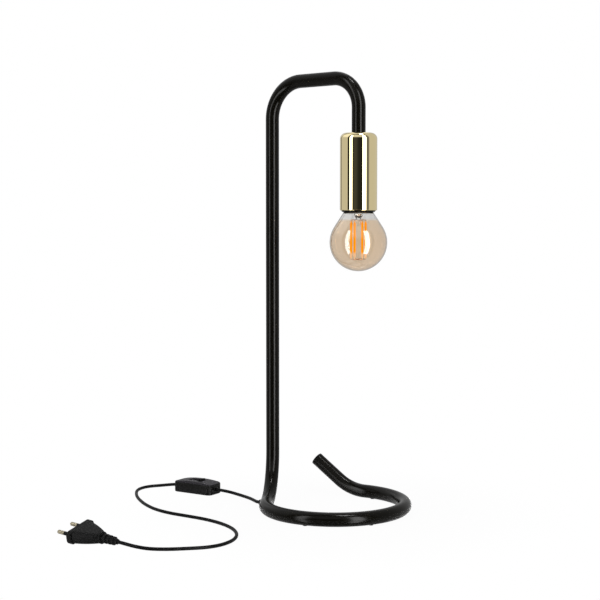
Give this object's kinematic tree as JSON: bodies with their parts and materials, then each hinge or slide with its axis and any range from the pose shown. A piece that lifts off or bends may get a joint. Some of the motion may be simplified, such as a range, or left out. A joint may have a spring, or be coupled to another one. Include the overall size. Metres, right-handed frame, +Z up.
{
  "type": "bedside lamp",
  "caption": "Bedside lamp of one bent black tube with a round base, a brass sleeve over the lampholder, a globe filament bulb, and a lead with a rocker switch and plug.",
  "frame": {"origin": "on the table, under the middle of the lamp's box without the lead", "axes": "+X along the arm from the pole to the bulb, +Z up"},
  "size_m": [0.3368, 0.371, 0.4813],
  "materials": {
    "black_paint": "satin",
    "black_plastic": "satin",
    "black_cord": "matte",
    "black_rubber": "matte",
    "polished_brass": "polished",
    "plain_brass": "satin",
    "steel": "satin",
    "phenolic": "gloss",
    "ceramic": "gloss",
    "amber_glass": "clear",
    "clear_glass": "clear",
    "phosphor": "satin",
    "copper_wire": "satin",
    "circuit_board": "satin",
    "core_insulation": "matte"
  },
  "bodies": {
    "lamp": {"tube_frame": "black_paint", "tail_cap": "black_plastic", "foot_pads": "black_rubber", "cord_bush": "black_plastic", "inner_cord": "black_cord", "tube_insert": "steel", "nipple": "plain_brass", "sleeve": "polished_brass", "sleeve_nut": "plain_brass", "holder_cap": "phenolic", "holder_body": "phenolic", "screw_shell": "plain_brass", "terminal_block": "ceramic", "terminal_screws": "steel", "centre_spring": "plain_brass", "core_leads": "core_insulation", "cord_to_switch": "black_cord", "switch_base": "black_plastic", "switch_cover": "black_plastic", "rocker_pin": "steel", "switch_contacts": "plain_brass", "switch_screws": "steel", "cord_clamps": "black_plastic", "switch_cores": "core_insulation", "cord_to_plug": "black_cord", "plug_body": "black_plastic", "pin_sleeves": "black_plastic", "plug_pins": "plain_brass"},
    "bulb_carriage": {"bulb_contact": "steel"},
    "bulb": {"bulb_glass": "amber_glass", "bulb_cap": "steel", "cap_insulator": "phenolic", "bulb_stem": "clear_glass", "driver_board": "circuit_board", "led_filaments": "phosphor", "filament_wires": "copper_wire"},
    "rocker": {"switch_rocker": "black_plastic"},
    "leaf": {"contact_leaf": "plain_brass"}
  },
  "joints": [
    {"name": "bulb_travel", "type": "slide", "parent": "lamp", "child": "bulb_carriage", "axis": [0, 0, -1], "range_m": [0, 0.0128]},
    {"name": "bulb_turn", "type": "hinge", "parent": "bulb_carriage", "child": "bulb", "pos_m": [0.03635, 0, 0.297], "axis": [0, 0, -1], "range_deg": [0, 1260]},
    {"name": "rocker_tilt", "type": "hinge", "parent": "lamp", "child": "rocker", "pos_m": [-0.1834, -0.01674, 0.0102], "axis": [-0.0906, 0.9959, 0], "range_deg": [0, 20]},
    {"name": "leaf_rock", "type": "hinge", "parent": "lamp", "child": "leaf", "pos_m": [-0.1834, -0.01674, 0.0044], "axis": [-0.0906, 0.9959, 0], "range_deg": [-18, 0]}
  ],
  "couplings": [
    {"joint": "bulb_travel", "follows": "bulb_turn", "m_per_rad": 0.00057757},
    {"joint": "leaf_rock", "follows": "rocker_tilt", "ratio": -0.8}
  ]
}
